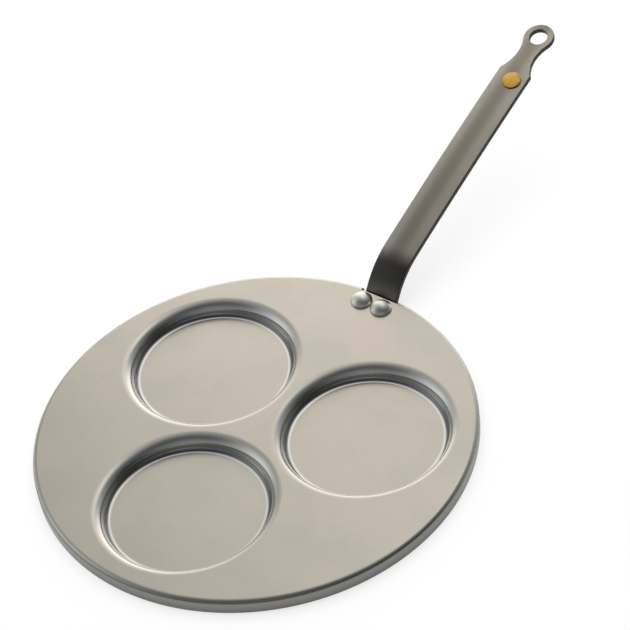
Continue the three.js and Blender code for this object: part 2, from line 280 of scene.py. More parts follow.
class Shell:
    """Grids of points collected into one closed surface."""

    def __init__(self):
        self.points, self.faces, self.slots, self.count = [], [], [], 0

    def add(self, points, faces, slot=0):
        """Adds points, faces that number them from 0, and the slot of the faces' finish."""
        self.points.append(points)
        self.faces.append(faces + self.count)
        self.slots.append(np.full(len(faces), slot, dtype=np.int32))
        self.count += len(points)

    def add_grid(self, grid, closed=False, slot=0):
        """Adds a grid of points, rows by columns by 3."""
        rows, columns = grid.shape[:2]
        self.add(grid.reshape(-1, 3), grid_faces(rows, columns, closed), slot)

    def piece(self, name, crease):
        """Makes the mesh object: doubles are welded, faces turned outward, and edges sharper than crease stay
        hard."""
        mesh = bpy.data.meshes.new(name)
        mesh.from_pydata(np.concatenate(self.points).tolist(), [], np.concatenate(self.faces).tolist())
        mesh.polygons.foreach_set("material_index", np.concatenate(self.slots))
        work = bmesh.new()
        work.from_mesh(mesh)
        bmesh.ops.remove_doubles(work, verts=work.verts, dist=WELD)
        bmesh.ops.recalc_face_normals(work, faces=work.faces)
        if not all(edge.is_manifold for edge in work.edges):
            raise RuntimeError(f"the surface of {name} isn't closed")
        work.to_mesh(mesh)
        work.free()
        mesh.polygons.foreach_set("use_smooth", np.ones(len(mesh.polygons), dtype=bool))
        mesh.set_sharp_from_angle(angle=crease)
        return put(name, mesh)


def around_axis(radius, height, turn):
    """Points at radii, heights and angles round the Z axis."""
    return np.stack([radius * np.cos(turn), radius * np.sin(turn), height + 0 * turn], axis=-1)


def turned(profile):
    """A profile of radii and heights turned round the Z axis: each column is the profile at its angle."""
    turn = np.linspace(0, 2 * np.pi, TURNED_SEGMENTS, endpoint=False)
    return around_axis(profile[:, :1], profile[:, 1:], turn)


def cap(radius, height, base, count):
    """Section of a spherical cap from edge to top. The ball's radius is (edge² + height²) / (2 height)."""
    ball = (radius ** 2 + height ** 2) / (2 * height)
    points = arc((0, base + height - ball), ball, math.asin((ball - height) / ball), QUARTER, count)
    points[-1, 0] = 0
    return points


def rounded(corner, before, after, radius, count):
    """Points that round a section's corner between its neighbours: a quadratic curve of the given reach."""
    corner, before, after = np.array(corner), np.array(before), np.array(after)
    start = corner + radius * (before - corner) / np.linalg.norm(before - corner)
    end = corner + radius * (after - corner) / np.linalg.norm(after - corner)
    t = np.linspace(0, 1, count)[:, None]
    return (1 - t) ** 2 * start + 2 * t * (1 - t) * corner + t ** 2 * end


def smoothstep(value, low, high):
    """0 below low, 1 above high, and 3t² - 2t³ between them."""
    t = np.clip((value - low) / (high - low), 0, 1)
    return t * t * (3 - 2 * t)


# Plate


def plate_layout(plate):
    """Sizes that follow from the plate's own. Fillet, straight wall and shoulder add up to the well's depth.
    The wells' mouths stand one web apart on a circle round the pan's centre."""
    wall = QUARTER - plate.well_draft
    curved = plate.well_depth - plate.well_wall * math.sin(wall)
    shoulder = curved / (1 - math.cos(wall)) - plate.well_fillet
    mouth = plate.well_radius + shoulder * math.sin(wall)
    floor = plate.well_radius - plate.well_wall * math.cos(wall) - plate.well_fillet * math.sin(wall)
    circle = (mouth + plate.web / 2) / math.sin(math.pi / WELLS)
    flat = circle + mouth + plate.border
    outside = flat + plate.rim_rounding
    half = plate.notch_width / 2
    edge = outside - plate.notch_depth
    notch = np.array([[edge, 0], [edge, half], [math.sqrt(flat ** 2 - half ** 2), half]])
    return SimpleNamespace(
        wall=wall, shoulder=shoulder, mouth=mouth, floor=floor, circle=circle, flat=flat, outside=outside,
        edge=edge, half=half, notch=notch,
    )


def well_face(plate, layout, below, fillet_count, shoulder_count):
    """Section of a well from floor to mouth, a given depth below its cooking face: the fillet's arc grows by
    that depth, and the shoulder's arc shrinks by it."""
    fillet = (layout.floor, plate.well_fillet - plate.well_depth)
    shoulder = (layout.mouth, -layout.shoulder)
    return np.vstack([
        arc(fillet, plate.well_fillet + below, -QUARTER, layout.wall - QUARTER, fillet_count),
        arc(shoulder, layout.shoulder - below, QUARTER + layout.wall, QUARTER, shoulder_count),
    ])


def directions(centre, start, end, count):
    """Unit vectors at even angles round a centre, counterclockwise from the sight of start to that of end."""
    first = math.atan2(start[1] - centre[1], start[0] - centre[0])
    last = math.atan2(end[1] - centre[1], end[0] - centre[0])
    return unit(first + (last - first) % (2 * math.pi) * np.arange(count) / count)


def along_line(centre, start, end, count):
    """Points of a straight edge at even angles round a centre: along each direction the reach is the centre's
    distance from the edge over the cosine of the angle to the edge's normal."""
    ways = directions(centre, start, end, count)
    normal = np.array([end[1] - start[1], start[0] - end[0]])
    reach = (start - centre) @ normal / (ways @ normal)
    return centre + ways * reach[:, None]


def along_rim(centre, radius, start, end, count):
    """Points of a circle round the origin at even angles round a centre inside it: the reach along each
    direction is the positive root of |centre + reach * direction| = radius."""
    ways = directions(centre, start, end, count)
    towards = ways @ centre
    reach = np.sqrt(radius ** 2 - centre @ centre + towards ** 2) - towards
    return centre + ways * reach[:, None]


def well_centres(layout):
    """Plan places of the wells' middles, evenly round the pan's centre."""
    return layout.circle * unit((2 * np.arange(WELLS) + 1) * math.pi / WELLS)


def well_cell(layout, number):
    """Border of the plate's third round one well, counterclockwise from the pan's centre: a ray out, the
    notch if the ray ends there, the rim's arc, the notch again if it is there, and a ray back."""
    centre = well_centres(layout)[number]
    first, last = np.split(layout.flat * unit(2 * math.pi / WELLS * (number + np.arange(2))), 2)
    if number == 0:
        first = layout.notch
    if number == WELLS - 1:
        last = layout.notch[::-1] * (1, -1)
    origin = np.zeros(2)
    notch_out = [along_line(centre, *edge) for edge in zip(first[:-1], first[1:], NOTCH_POINTS)]
    rim = along_rim(centre, layout.flat, first[-1], last[0], RIM_POINTS)
    notch_back = [along_line(centre, *edge) for edge in zip(last[:-1], last[1:], NOTCH_POINTS[::-1])]
    border = np.vstack([
        along_line(centre, origin, first[0], RAY_POINTS), *notch_out, rim, *notch_back,
        along_line(centre, last[-1], origin, RAY_POINTS),
    ])
    notch = np.vstack([*notch_out, first[-1:]] if number == 0 else [*notch_back, last[-1:]])
    return SimpleNamespace(centre=centre, border=border, rim=rim, rim_end=last[0], notch=notch)


def cell_surface(cell, section, lift):
    """Polar grid over one cell: rows run from the well's middle over its section to the mouth and over the
    flat to the border, and columns look from the well's centre to each border point."""
    offset = cell.border - cell.centre
    reach = np.linalg.norm(offset, axis=1)
    floor, mouth = section[0, 0], section[-1, 0]
    radii = np.concatenate([[0, floor / 2, floor - FLAT_GAP], section[:, 0], [mouth + FLAT_GAP]])
    heights = np.concatenate([np.full(3, section[0, 1]), section[:, 1], np.full(4, lift)])
    rows = np.broadcast_to(radii[:, None], (len(radii), len(reach)))
    rows = np.vstack([rows, (rows[-1] + reach) / 2, reach - FLAT_GAP, reach])
    plan = cell.centre + rows[..., None] * (offset / reach[:, None])
    return np.concatenate([plan, np.broadcast_to(heights[:, None, None], (*rows.shape, 1))], axis=-1)


def rim_profile(plate, layout):
    """Section of the rim from the top flat round the outside, over the lower edge and up the inside to the
    lower flat. The first and the second half have as many points, so opposite ones face each other."""
    inside = layout.outside - plate.sheet
    foot = plate.rim_edge - plate.rim_depth
    tight = plate.rim_rounding - plate.sheet
    wall = np.linspace(-plate.rim_rounding, foot, RIM_WALL_POINTS + 2)[1:-1]
    return np.vstack([
        arc((layout.flat, -plate.rim_rounding), plate.rim_rounding, QUARTER, 0, RIM_ROUND_POINTS),
        np.column_stack([np.full(RIM_WALL_POINTS, layout.outside), wall]),
        arc((layout.outside - plate.rim_edge, foot), plate.rim_edge, 0, -QUARTER, RIM_EDGE_POINTS),
        arc((inside + plate.rim_edge, foot), plate.rim_edge, -QUARTER, -2 * QUARTER, RIM_EDGE_POINTS),
        np.column_stack([np.full(RIM_WALL_POINTS, inside), wall[::-1]]),
        arc((layout.flat, -plate.sheet - tight), tight, 0, QUARTER, RIM_ROUND_POINTS),
    ])


def rim_surface(layout, profile, turn):
    """The rim's section carried round the pan. Each point of it turns from its own sight of the notch's side,
    the arc sine of half the notch over its radius, so both ends lie in the notch's side planes."""
    radius, height = profile.T
    opening = np.arcsin(layout.half / radius)
    spread = (math.pi - opening) / (math.pi - math.asin(layout.half / layout.flat))
    return around_axis(radius, height, math.pi + (turn[:, None] - math.pi) * spread)


def plate_shell(plate):
    """Top face, underside, rim and notch of the plate as one closed shell."""
    layout = plate_layout(plate)
    cells = [well_cell(layout, number) for number in range(WELLS)]
    cooking = well_face(plate, layout, 0, *COOKING_POINTS)
    under = well_face(plate, layout, plate.sheet, *UNDER_POINTS)
    shell = Shell()
    for cell in cells:
        shell.add_grid(cell_surface(cell, cooking, 0), closed=True)
        shell.add_grid(cell_surface(cell, under, -plate.sheet)[::-1], closed=True, slot=UNDER)
    rim_points = np.vstack([*(cell.rim for cell in cells), cells[-1].rim_end])
    turn = np.arctan2(rim_points[:, 1], rim_points[:, 0]) % (2 * math.pi)
    profile = rim_profile(plate, layout)
    rim = rim_surface(layout, profile, turn)
    shell.add_grid(rim)
    half = len(profile) // 2
    for end in (rim[0], rim[-1]):
        shell.add_grid(np.stack([end[:half], end[:half - 1:-1]]), slot=CUT)
    notch = np.vstack([cells[0].notch[::-1], cells[-1].notch[::-1]])
    upper = np.column_stack([notch, np.zeros(len(notch))])
    shell.add_grid(np.stack([upper, upper - (0, 0, plate.sheet)]), slot=CUT)
    return shell


# Handle


def handle_layout(plate, handle):
    """Lengths along the strip, measured from the start of the foot bend, and the neck's arcs, which run into
    the loop's circle without a corner."""
    foot_end = handle.foot_bend * handle.leg_angle
    grip_start = foot_end + handle.main_bend * (handle.leg_angle - handle.grip_angle)
    loop = grip_start + handle.grip_length
    ring = handle.hang_hole + handle.loop_wall
    neck = handle.neck_width / 2
    neck_arc = (handle.neck_to_loop ** 2 + neck ** 2 - ring ** 2) / (2 * (ring - neck))
    drop = handle.width / 2 - neck
    shoulder = handle.neck_to_loop + math.sqrt(2 * neck_arc * drop - drop ** 2)
    start = plate_layout(plate).edge + handle.foot_bend_gap
    return SimpleNamespace(
        start=start, foot_end=foot_end, grip_start=grip_start, loop=loop, ring=ring, neck=neck,
        neck_arc=neck_arc, shoulder=shoulder, meet=math.atan2(neck + neck_arc, handle.neck_to_loop),
    )


def strip_path(plate, handle, layout, along):
    """Side view of the strip's top edge at lengths along it: the level foot, the foot bend up to the leg's
    slope, the main bend down to the grip's slope and the grip's wide arch. Each bend adds its radius times
    the change of the slope's sine and cosine. Gives x, z and the slope."""
    foot = np.clip(along, 0, layout.foot_end) / handle.foot_bend
    bent = np.clip(along - layout.foot_end, 0, layout.grip_start - layout.foot_end)
    main = handle.leg_angle - bent / handle.main_bend
    grip = handle.grip_angle - np.maximum(along - layout.grip_start, 0) / handle.grip_arch
    x = layout.start + np.minimum(along, 0) + handle.foot_bend * np.sin(foot)
    x = x + handle.main_bend * (math.sin(handle.leg_angle) - np.sin(main))
    x = x + handle.grip_arch * (math.sin(handle.grip_angle) - np.sin(grip))
    z = -plate.sheet + handle.foot_bend * (1 - np.cos(foot))
    z = z + handle.main_bend * (np.cos(main) - math.cos(handle.leg_angle))
    z = z + handle.grip_arch * (np.cos(grip) - math.cos(handle.grip_angle))
    slope = np.where(along < layout.foot_end, foot, np.where(along < layout.grip_start, main, grip))
    return x, z, slope


def crown_height(handle, layout, along, across):
    """Rise of the strip's face over its edges: the crown times 1 - (across / half width)². It grows over the
    main bend and dies out between the shoulders and the loop."""
    grow = smoothstep(along, layout.foot_end, layout.grip_start)
    fade = smoothstep(along, layout.loop - layout.shoulder, layout.loop - handle.hang_hole)
    return handle.crown * grow * (1 - fade) * (1 - (across / (handle.width / 2)) ** 2)


def strip_points(plate, handle, layout, plan, depth):
    """Points of the plan, lengths along and across, laid on the strip's path, a depth below its top face."""
    along, across = plan.T
    x, z, slope = strip_path(plate, handle, layout, along)
    rise = crown_height(handle, layout, along, across) - depth
    return np.column_stack([x - rise * np.sin(slope), across, z + rise * np.cos(slope)])


def strip_stations(handle, layout):
    """Lengths along the strip and the half width at each: the foot's rounded corners, the straight strip and
    the shoulders, whose arcs narrow to the neck."""
    corner = handle.foot_corner
    inner = handle.foot_width / 2 - corner
    meet = math.asin((handle.width / 2 - inner) / corner)
    back = arc((corner - handle.foot_length, inner), corner, 2 * QUARTER, QUARTER, FOOT_CORNER_POINTS)
    front = arc((-corner, inner), corner, QUARTER, meet, FOOT_CORNER_POINTS)
    straight = np.concatenate([
        np.linspace(0, layout.foot_end, FOOT_BEND_POINTS),
        np.linspace(layout.foot_end, layout.grip_start, MAIN_BEND_POINTS)[1:],
        np.linspace(layout.grip_start, layout.loop - layout.shoulder, GRIP_POINTS)[1:],
    ])
    straight = np.column_stack([straight, np.full(len(straight), handle.width / 2)])
    along = np.linspace(-layout.shoulder, -handle.neck_to_loop, NECK_POINTS)[1:]
    bend = layout.neck + layout.neck_arc - np.sqrt(layout.neck_arc ** 2 - (along + handle.neck_to_loop) ** 2)
    return np.vstack([back, front, straight, np.column_stack([along + layout.loop, bend])])


def loop_cell(handle, layout, shares):
    """Polar grid round the hang hole, in the strip's plan: columns look from the hole's middle to the neck's
    end, along the neck's arcs and round the loop, and rows step from the hole to that border."""
    reach = layout.neck + layout.neck_arc
    neck = np.column_stack([np.full(len(shares), -handle.neck_to_loop), -shares * layout.neck])
    side = arc((-handle.neck_to_loop, -reach), layout.neck_arc, QUARTER, layout.meet, LOOP_SIDE_POINTS)[1:]
    ring = arc((0, 0), layout.ring, layout.meet - math.pi, math.pi - layout.meet, LOOP_POINTS)[1:]
    border = np.vstack([neck, side, ring, side[-2::-1] * (1, -1)])
    way = border / np.linalg.norm(border, axis=1)[:, None]
    step = np.linspace(0, 1, LOOP_ROWS)[:, None, None]
    return handle.hang_hole * way + step * (border - handle.hang_hole * way) + (layout.loop, 0)


def handle_shell(plate, handle):
    """The strip as a closed slab. Its plan is a lengthwise grid and the loop's polar grid, welded. Top and
    underside are the plan laid on the path at two depths, and walls join them along every edge that has only
    one face."""
    layout = handle_layout(plate, handle)
    stations = strip_stations(handle, layout)
    shares = np.linspace(-1, 1, STRIP_COLUMNS)
    strip = np.stack([stations[:, :1] + 0 * shares, stations[:, 1:] * shares], axis=-1)
    loop = loop_cell(handle, layout, shares)
    faces = np.vstack([
        grid_faces(*strip.shape[:2], False)[:, ::-1],
        grid_faces(*loop.shape[:2], True)[:, ::-1] + strip.shape[0] * strip.shape[1],
    ])
    plan = np.vstack([strip.reshape(-1, 2), loop.reshape(-1, 2)])
    _, kept, number = np.unique(np.round(plan / WELD), axis=0, return_index=True, return_inverse=True)
    plan, faces = plan[kept], number.reshape(-1)[faces]
    count = len(plan)
    start, end = faces.reshape(-1), np.roll(faces, -1, axis=1).reshape(-1)
    open_edge = ~np.isin(end * count + start, start * count + end)
    start, end = start[open_edge], end[open_edge]
    walls = np.column_stack([start, start + count, end + count, end])
    shell = Shell()
    upper = strip_points(plate, handle, layout, plan, 0)
    lower = strip_points(plate, handle, layout, plan, handle.thickness)
    points = np.vstack([upper, lower])
    shell.add(points, np.vstack([faces, faces[:, ::-1] + count]))
    shell.add(points, walls, slot=CUT)
    return shell


# Rivets and button


def rivet_shell(plate, handle, rivets, place):
    """A rivet turned round its axis: set tail under the foot, shank, and domed head on the plate."""
    seat = -plate.sheet - handle.thickness
    tail = cap(rivets.tail_radius, rivets.tail_height, 0, TAIL_POINTS)[::-1] * (1, -1) + (0, seat)
    dome = cap(rivets.head_radius, rivets.head_height - rivets.head_edge, rivets.head_edge, HEAD_POINTS)
    low = [rivets.head_radius, 0]
    profile = np.vstack([
        tail,
        [[rivets.shank_radius, seat], [rivets.shank_radius, 0]],
        rounded(low, [rivets.shank_radius, 0], dome[0], RIVET_LOWER_EDGE, LOWER_EDGE_POINTS),
        rounded(dome[0], low, dome[1], RIVET_UPPER_EDGE, UPPER_EDGE_POINTS),
        dome[2:],
    ])
    shell = Shell()
    shell.add_grid(turned(profile) + place, closed=True)
    return shell


def button_shell(plate, handle, button):
    """The button turned round its axis, tilted with the grip: lip under the strip, stem, and domed head."""
    layout = handle_layout(plate, handle)
    under = -handle.thickness - button.clearance
    seat = handle.crown + button.clearance
    dome = cap(button.radius, button.dome, seat + button.edge, BUTTON_POINTS)
    low = [button.radius, seat]
    profile = np.vstack([
        [[0, under - button.tail_height], [button.tail_radius, under - button.tail_height]],
        [[button.tail_radius, under], [button.stem_radius, under], [button.stem_radius, seat]],
        rounded(low, [button.stem_radius, seat], dome[0], BUTTON_LOWER_EDGE, LOWER_EDGE_POINTS),
        rounded(dome[0], low, dome[1], BUTTON_UPPER_EDGE, UPPER_EDGE_POINTS),
        dome[1:],
    ])
    x, z, slope = strip_path(plate, handle, layout, layout.loop - button.to_loop)
    cosine, sine = math.cos(slope), math.sin(slope)
    tilt = np.array([[cosine, 0, -sine], [0, 1, 0], [sine, 0, cosine]])
    shell = Shell()
    shell.add_grid(turned(profile) @ tilt.T + (x, -button.offset, z), closed=True)
    return shell


# Finishes


def span(low, high):
    """Two distances given in millimetres, over which a finish comes or goes."""
    return MM * np.array((low, high))


# Outward from the plate's flat, and down from its top face: where the painted highlight on the rim's rounding
# and the painted shade on the rim's wall lie
RIM_HIGHLIGHT, RIM_WALL = span(0.2, 1), span(0.8, 1.8)
RIM_SHADE_DROP, RIM_FOOT_SHADE_FADE = span(0.6, 1.5), 3 * MM
# Outward from a well's floor, from the top of its straight wall and from its mouth: where the painted
# highlight, the painted shade on the steep wall and the painted dark line lie
SHOULDER_RISE, STEEP_RISE, LINE_RISE, LINE_FALL = span(-0.9, 0), span(0.4, 1.2), span(1, 1.5), span(2.3, 2.9)
STEEP_FALL = span(0, 1.6)
SHOULDER_FALL = span(-4, -1)
# Outward from the handle's foot bend and from the end of its main bend, where the leg's painted shade fades,
# and across in half widths, for the halves and for the browner middle that is partly painted shade
ROOT_SHADE_FALL, LEG_SHADE_FALL = span(1, 9), span(-12, -1)
HALF_TURN, MIDDLE_PLACE, MIDDLE_FALL = (-0.35, 0.25), 0.08, (0.1, 0.75)
# Where the painted shade at the button's edge comes
BUTTON_EDGE_SHADE = np.array((0.6, 1.05))  # from the middle, in radii
# Noise: scale, detail and roughness, and the two values between which patches of it come
PLATE_CLOUDS, PLATE_BLUSH = ((22, 3, 0.55), (0.38, 0.66)), ((15, 3, 0.6), (0.48, 0.7))
PLATE_SPECKS, PLATE_MOTTLE = ((420, 1, 0.4), (0.78, 0.82)), (150, 3, 0.6)
STRIP_CLOUDS, STRIP_STREAKS, STRIP_GRAIN = ((40, 3, 0.55), (0.35, 0.68)), (1, 3, 0.55), (1100, 2, 0.6)
STREAK_SCALE = (18, 420, 18)  # long along the strip, fine across it
RESIN_CLOUDS, RESIN_GRAIN = ((260, 3, 0.6), (0.36, 0.68)), (1500, 2, 0.6)
CUT_TEARS, TEAR_EDGES = (700, 3, 0.6), (0.4, 0.75)
RIVET_CLOUDS, RIVET_EDGES = (160, 3, 0.55), (0.35, 0.7)
STEEL_GRAIN, PAPER_FIBRES = (900, 2, 0.6), (300, 2, 0.5)
TORN_STEEL = (0.13, 0.115, 0.095)
PAPER_FIBRE = (0.75, 0.75, 0.75)
BLACK, WHITE = (0, 0, 0), (1, 1, 1, 1)
LEVEL = (1, 1, 0)


def math_pair(operation):
    """Two methods that add a Math node: an operator and its reflected form."""
    def plain(self, other):
        return self.math(operation, self, other)

    def reflected(self, other):
        return self.math(operation, other, self)

    return plain, reflected


class Field:
    """A value at a node's output. Arithmetic on it adds Math nodes."""

    __add__, __radd__ = math_pair("ADD")
    __sub__, __rsub__ = math_pair("SUBTRACT")
    __mul__, __rmul__ = math_pair("MULTIPLY")
    __truediv__, __rtruediv__ = math_pair("DIVIDE")
    __pow__, __rpow__ = math_pair("POWER")

    def __init__(self, paint, socket):
        self.paint, self.socket = paint, socket

    def math(self, operation, *terms):
        """The result of a Math node."""
        return self.paint.node("Math", {"operation": operation}, dict(enumerate(terms)))


class Paint:
    """The node tree of a finish, filled through one method."""

    def __init__(self, tree):
        self.tree = tree
        tree.nodes.clear()

    def node(self, kind, settings=None, sockets=None, output=0):
        """Adds a shader node of a kind: settings first, then a value or a link for each socket, named by its
        identifier or its number. Gives the output named."""
        made = self.tree.nodes.new("ShaderNode" + kind)
        for key, value in (settings or {}).items():
            setattr(made, key, value)
        named = {socket.identifier: socket for socket in made.inputs}
        for key, value in (sockets or {}).items():
            socket = made.inputs[key] if isinstance(key, int) else named[key]
            if isinstance(value, Field):
                self.tree.links.new(value.socket, socket)
            else:
                socket.default_value = value
        if not made.outputs:
            return None
        return Field(self, made.outputs[output])

    def step(self, value, low, high):
        """0 where value is at low, 1 where it is at high, smooth between them."""
        return self.node(
            "MapRange", {"interpolation_type": "SMOOTHSTEP"}, {0: value, 1: low, 2: high, 3: 0, 4: 1}
        )

    def band(self, value, rise, fall):
        """1 between two edges, each a pair of values over which it comes or goes."""
        return self.step(value, *rise) * (1 - self.step(value, *fall))

    def mix(self, factor, first, second):
        """A colour between two colours, each a field or three numbers."""
        first, second = (tone if isinstance(tone, Field) else (*tone, 1) for tone in (first, second))
        sockets = {"Factor_Float": factor, "A_Color": first, "B_Color": second}
        return self.node("Mix", {"data_type": "RGBA"}, sockets, "Result")

    def distance(self, place, spot):
        """How far a place is from a spot."""
        return self.node("VectorMath", {"operation": "DISTANCE"}, {0: place, 1: spot}, "Value")

    def noise(self, place, scale, detail, roughness):
        """Fractal noise from 0 to 1 at a place."""
        return self.node(
            "TexNoise", None, {"Vector": place, "Scale": scale, "Detail": detail, "Roughness": roughness}
        )

    def patches(self, place, pattern, edges):
        """Patches of noise: 0 where it is at the first edge and 1 where it is at the second."""
        return self.step(self.noise(place, *pattern), *edges)

    def parts(self, vector):
        """A vector's three numbers."""
        split = self.node("SeparateXYZ", None, {0: vector})
        return [Field(self, socket) for socket in split.socket.node.outputs]

    def stretched(self, vector, scale):
        """A place scaled by its own factor along each axis, which stretches a pattern."""
        return self.node("Mapping", None, {"Vector": vector, "Scale": scale})

    def bump(self, height, strength, distance):
        """A normal tilted by a height."""
        return self.node("Bump", None, {"Strength": strength, "Distance": distance, "Height": height})


def material(name):
    """A new material, its paint and the point's place in the object's own coordinates."""
    made = bpy.data.materials.new(name)
    made.use_nodes = True
    paint = Paint(made.node_tree)
    return made, paint, paint.node("TexCoord", None, None, "Object")


def metal(paint, tone, rough, height, strength, depth):
    """A metal's finish: its tone, its roughness and a height that tilts its normal."""
    tilted = paint.bump(height, strength, depth)
    shade(paint, {"Base Color": tone, "Metallic": 1.0, "Roughness": rough, "Normal": tilted})


def shade(paint, sockets):
    """The finish's one Principled shader, joined to the output."""
    surface = paint.node("BsdfPrincipled", None, sockets)
    paint.node("OutputMaterial", None, {"Surface": surface})


def well_distance(paint, place, layout):
    """Level distance from a place to the nearest well's middle."""
    level = paint.stretched(place, LEVEL)
    nearest, *others = [paint.distance(level, (*centre, 0)) for centre in well_centres(layout)]
    for far in others:
        nearest = far.math("MINIMUM", nearest, far)
    return nearest


def plate_finish(name, plate, layout, pressed):
    """Bare rolled steel: soft grey-green and pink clouds, fine grain and a few specks, with painted shade on
    the rim's wall, darkest at its foot, and a painted highlight on the rim's rounding. A pressed face also
    carries painted reflections round its wells: a painted highlight at the floor's edge and on the shoulder,
    where the steel is also smoother, painted shade on the steep wall between, and a painted dark line at the
    wall's foot."""
    made, paint, place = material(name)
    x, y, z = paint.parts(place)
    clouds = paint.patches(place, *PLATE_CLOUDS)
    blush = paint.patches(paint.stretched(place, LEVEL), *PLATE_BLUSH)
    mottle = paint.noise(place, *PLATE_MOTTLE)
    grain = paint.noise(place, *STEEL_GRAIN)
    specks = paint.patches(place, *PLATE_SPECKS)
    tone = paint.mix(clouds * 0.75 + (mottle - 0.4) * 0.4, plate.steel, plate.steel_patch)
    tone = paint.mix(blush * 0.8, tone, plate.steel_blush)
    radius, drop = (x * x + y * y) ** 0.5, z * -1
    # Painted shade on the rim's wall, growing darker towards its foot
    wall = paint.step(radius, *(layout.flat + RIM_WALL)) * paint.step(drop, *RIM_SHADE_DROP)
    drawn = paint.mix(paint.step(drop, RIM_FOOT_SHADE_FADE, plate.rim_depth), plate.rim_shade_steel, plate.rim_foot_shade_steel)
    # burnished: smoother steel, and a brighter tone that paints a highlight on the rim's rounding and round
    # the wells
    burnished = paint.step(radius, *(layout.flat + RIM_HIGHLIGHT)) * 0.25
    if pressed:
        reach = well_distance(paint, place, layout)
        burnished = burnished + paint.band(reach, layout.floor + SHOULDER_RISE, layout.mouth + SHOULDER_FALL)
    tone = paint.mix(burnished, tone, plate.painted_highlight_steel)
    rough = plate.roughness - burnished * (plate.roughness - plate.drawn_roughness)
    if pressed:
        # Painted shade: a darker, greyer tone on each well's steep wall
        steep = paint.band(reach, layout.floor + STEEP_RISE, plate.well_radius + STEEP_FALL)
        # Painted shade: a narrow dark line at the foot of each well's wall
        line = paint.band(reach, layout.floor + LINE_RISE, layout.floor + LINE_FALL)
        tone = paint.mix(line, paint.mix(steep, tone, plate.wall_shade_steel), plate.well_foot_shade_steel)
        rough = rough - steep * (plate.drawn_roughness - plate.wall_roughness)
    tone = paint.mix(specks * 0.07, paint.mix(wall, tone, drawn), plate.speck)
    rough = rough + (clouds - 0.5) * 0.03 + (mottle - 0.5) * 0.03 + (grain - 0.5) * 0.015 + wall * 0.05
    metal(paint, tone, rough, grain, 0.01, 0.02 * MM)
    return made


def strip_finish(plate, handle):
    """Dark strip steel with long rolling marks: a browner middle that is partly painted shade of the crowned
    face, two paler halves, and painted shade that darkens the leg up to the end of the main bend, a little
    lighter next to the pan."""
    made, paint, place = material("dark_strip_steel")
    layout = handle_layout(plate, handle)
    x, y, _ = paint.parts(place)
    streaks = paint.noise(paint.stretched(place, STREAK_SCALE), *STRIP_STREAKS)
    clouds = paint.patches(place, *STRIP_CLOUDS)
    grain = paint.noise(place, *STRIP_GRAIN)
    across = y / (handle.width / 2)
    halves = paint.mix(paint.step(across, *HALF_TURN), handle.right_steel, handle.steel)
    # The browner middle: partly the strip's own tone, partly painted shade of the crowned face
    middle = 1 - paint.step(across.math("ABSOLUTE", across - MIDDLE_PLACE), *MIDDLE_FALL)
    tone = paint.mix(middle, halves, handle.middle_brown_and_shade_steel)
    tone = paint.mix((clouds - 0.5) * 0.2 + (streaks - 0.4) * 0.5, tone, handle.middle_brown_and_shade_steel)
    bend_end = strip_path(plate, handle, layout, layout.grip_start)[0]
    # Painted shade on the leg, up to the end of the main bend and lighter next to the pan
    leg = 1 - paint.step(x, *(bend_end + LEG_SHADE_FALL))
    leg_shade_tone = paint.mix(paint.step(x, *(layout.start + ROOT_SHADE_FALL)), handle.root_shade_steel, handle.leg_shade_steel)
    tone = paint.mix(leg, tone, leg_shade_tone)
    rough = handle.roughness + (streaks - 0.5) * 0.1 + (grain - 0.5) * 0.05
    metal(paint, tone, rough, streaks + grain * 0.4, 0.06, 0.05 * MM)
    return made


def cut_finish(name, steel):
    """Sheared steel: dull, with short tears, and a dark tone that is partly the sheared steel and partly
    painted shade.
    """
    made, paint, place = material(name)
    tears = paint.noise(place, *CUT_TEARS)
    tone = paint.mix(paint.step(tears, *TEAR_EDGES) * 0.6, steel, TORN_STEEL)
    metal(paint, tone, 0.4 + tears * 0.2, tears, 0.15, 0.1 * MM)
    return made


def rivet_finish(rivets):
    """Smooth pale steel with a little unevenness from setting."""
    made, paint, place = material("rivet_steel")
    clouds = paint.noise(place, *RIVET_CLOUDS)
    grain = paint.noise(place, *STEEL_GRAIN)
    tone = paint.mix(paint.step(clouds, *RIVET_EDGES) * 0.35, rivets.steel, rivets.steel_cloud)
    metal(paint, tone, rivets.roughness + (clouds - 0.5) * 0.12, clouds + grain * 0.2, 0.1, 0.15 * MM)
    return made


def button_finish(button, middle):
    """Cast resin in yellow orange under a clear coat, darker in clouds, with painted shade towards its edge
    away from its middle.
    """
    made, paint, place = material("button_resin")
    clouds = paint.patches(place, *RESIN_CLOUDS)
    grain = paint.noise(place, *RESIN_GRAIN)
    # Painted shade that darkens the button towards its edge
    edge = paint.step(paint.distance(place, middle), *(button.radius * BUTTON_EDGE_SHADE))
    tone = paint.mix(clouds * 0.5 + edge * 0.5, button.resin, button.resin_cloud_and_edge_shade)
    shade(paint, {
        "Base Color": tone, "Roughness": 0.3 + (grain - 0.5) * 0.1, "Coat Weight": 0.35,
        "Coat Roughness": 0.12, "Normal": paint.bump(clouds, 0.1, 0.1 * MM),
    })
    return made


